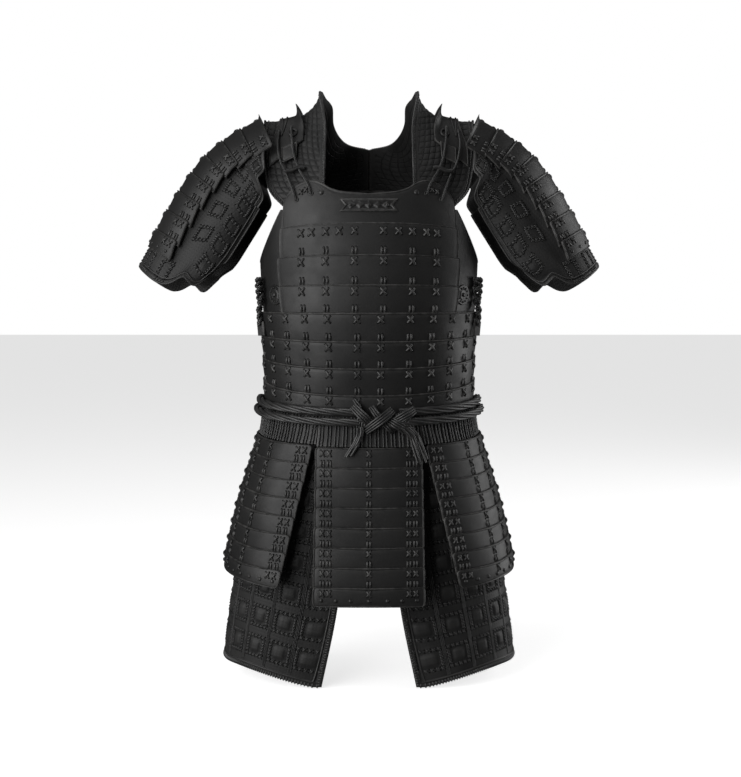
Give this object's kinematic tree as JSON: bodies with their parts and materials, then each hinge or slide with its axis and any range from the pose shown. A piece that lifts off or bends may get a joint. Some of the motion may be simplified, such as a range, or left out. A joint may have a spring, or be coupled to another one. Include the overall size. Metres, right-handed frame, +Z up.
{
  "type": "laced lamellar cuirass with arm guards and skirt panels",
  "caption": "Hollow, worn-form cuirass of overlapping black leather lames with a quilted yoke, lamed arm guards, a rope belt, hanging skirt panels and padded thigh guards.",
  "frame": {"origin": "middle of the shoulder line, level with where the yoke lies on the wearer's shoulders", "axes": "+Z up, -Y out of the front, +X to the wearer's left"},
  "size_m": [0.751, 0.3238, 0.9501],
  "materials": {
    "leather": "satin",
    "cloth": "matte",
    "cord": "matte"
  },
  "bodies": {
    "root": {"chest_plate": "leather", "chest_lame_1": "leather", "chest_lame_2": "leather", "chest_lame_3": "leather", "waist_lame_1": "leather", "waist_lame_2": "leather", "waist_lame_3": "leather", "waist_lame_4": "leather", "back_plate": "leather", "back_chest_lame_1": "leather", "back_chest_lame_2": "leather", "back_chest_lame_3": "leather", "back_waist_lame_1": "leather", "back_waist_lame_2": "leather", "back_waist_lame_3": "leather", "back_waist_lame_4": "leather", "side_plate_left": "leather", "side_plate_right": "leather", "chest_badge": "leather", "shoulder_strap_left": "leather", "shoulder_strap_right": "leather", "arm_lame_left_1": "leather", "arm_lame_left_2": "leather", "arm_lame_left_3": "leather", "arm_lame_left_4": "leather", "arm_lame_left_5": "leather", "arm_lame_left_6": "leather", "arm_lame_left_7": "leather", "arm_lame_left_8": "leather", "arm_lame_right_1": "leather", "arm_lame_right_2": "leather", "arm_lame_right_3": "leather", "arm_lame_right_4": "leather", "arm_lame_right_5": "leather", "arm_lame_right_6": "leather", "arm_lame_right_7": "leather", "arm_lame_right_8": "leather", "skirt_panel_front": "leather", "skirt_panel_back": "leather", "skirt_panel_front_left": "leather", "skirt_panel_front_right": "leather", "skirt_panel_back_left": "leather", "skirt_panel_back_right": "leather", "yoke_left": "cloth", "yoke_right": "cloth", "sleeve_left": "cloth", "sleeve_right": "cloth", "thigh_guard_left": "cloth", "thigh_guard_right": "cloth", "shoulder_tie_left": "cord", "shoulder_tie_right": "cord", "side_tie_left": "cord", "side_tie_right": "cord", "belt_end_left": "cord", "belt_end_right": "cord", "rope_belt": "cord", "skirt_lacing_front": "cord", "skirt_lacing_left": "cord", "skirt_lacing_back": "cord", "skirt_lacing_right": "cord"}
  },
  "joints": []
}
